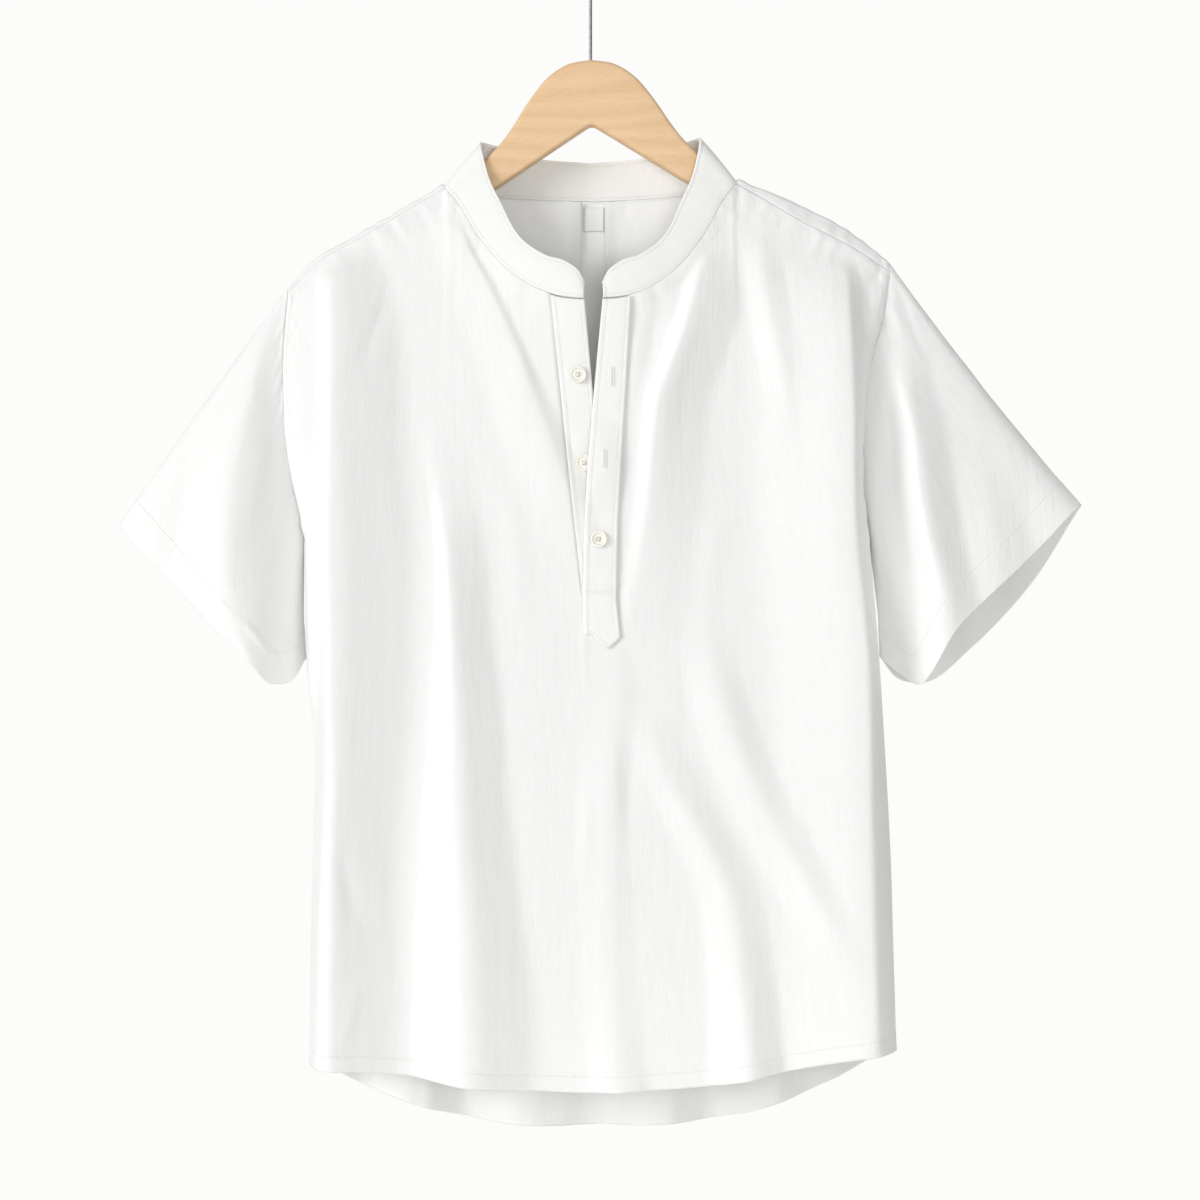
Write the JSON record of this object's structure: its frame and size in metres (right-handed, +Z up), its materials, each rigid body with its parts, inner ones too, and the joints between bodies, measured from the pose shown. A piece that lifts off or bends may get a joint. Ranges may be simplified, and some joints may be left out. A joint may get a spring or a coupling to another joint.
{
  "type": "short-sleeved band-collar shirt on a wooden hanger",
  "caption": "Loose white popover shirt with a band collar, half placket and short sleeves, hanging on a flat wooden hanger with a wire hook.",
  "frame": {"origin": "inner top of the hook's loop, where a rail carries the hanger", "axes": "+Z up, -Y out of the shirt's front, +X to the right as the front is looked at"},
  "size_m": [0.7439, 0.0933, 0.9319],
  "materials": {
    "cloth": "crinkled white linen weave",
    "label": "blank woven tape",
    "button": "cream, satin",
    "wood": "pale beech, satin lacquer",
    "wire": "plain bright wire"
  },
  "bodies": {
    "root": {"front": "cloth", "back": "cloth", "sleeve_left": "cloth", "sleeve_right": "cloth", "collar_band": "cloth", "under_placket": "cloth", "over_placket": "cloth", "button_1": "button", "button_2": "button", "button_3": "button", "neck_label": "label", "hanger": "wood", "hook": "wire"}
  },
  "joints": []
}
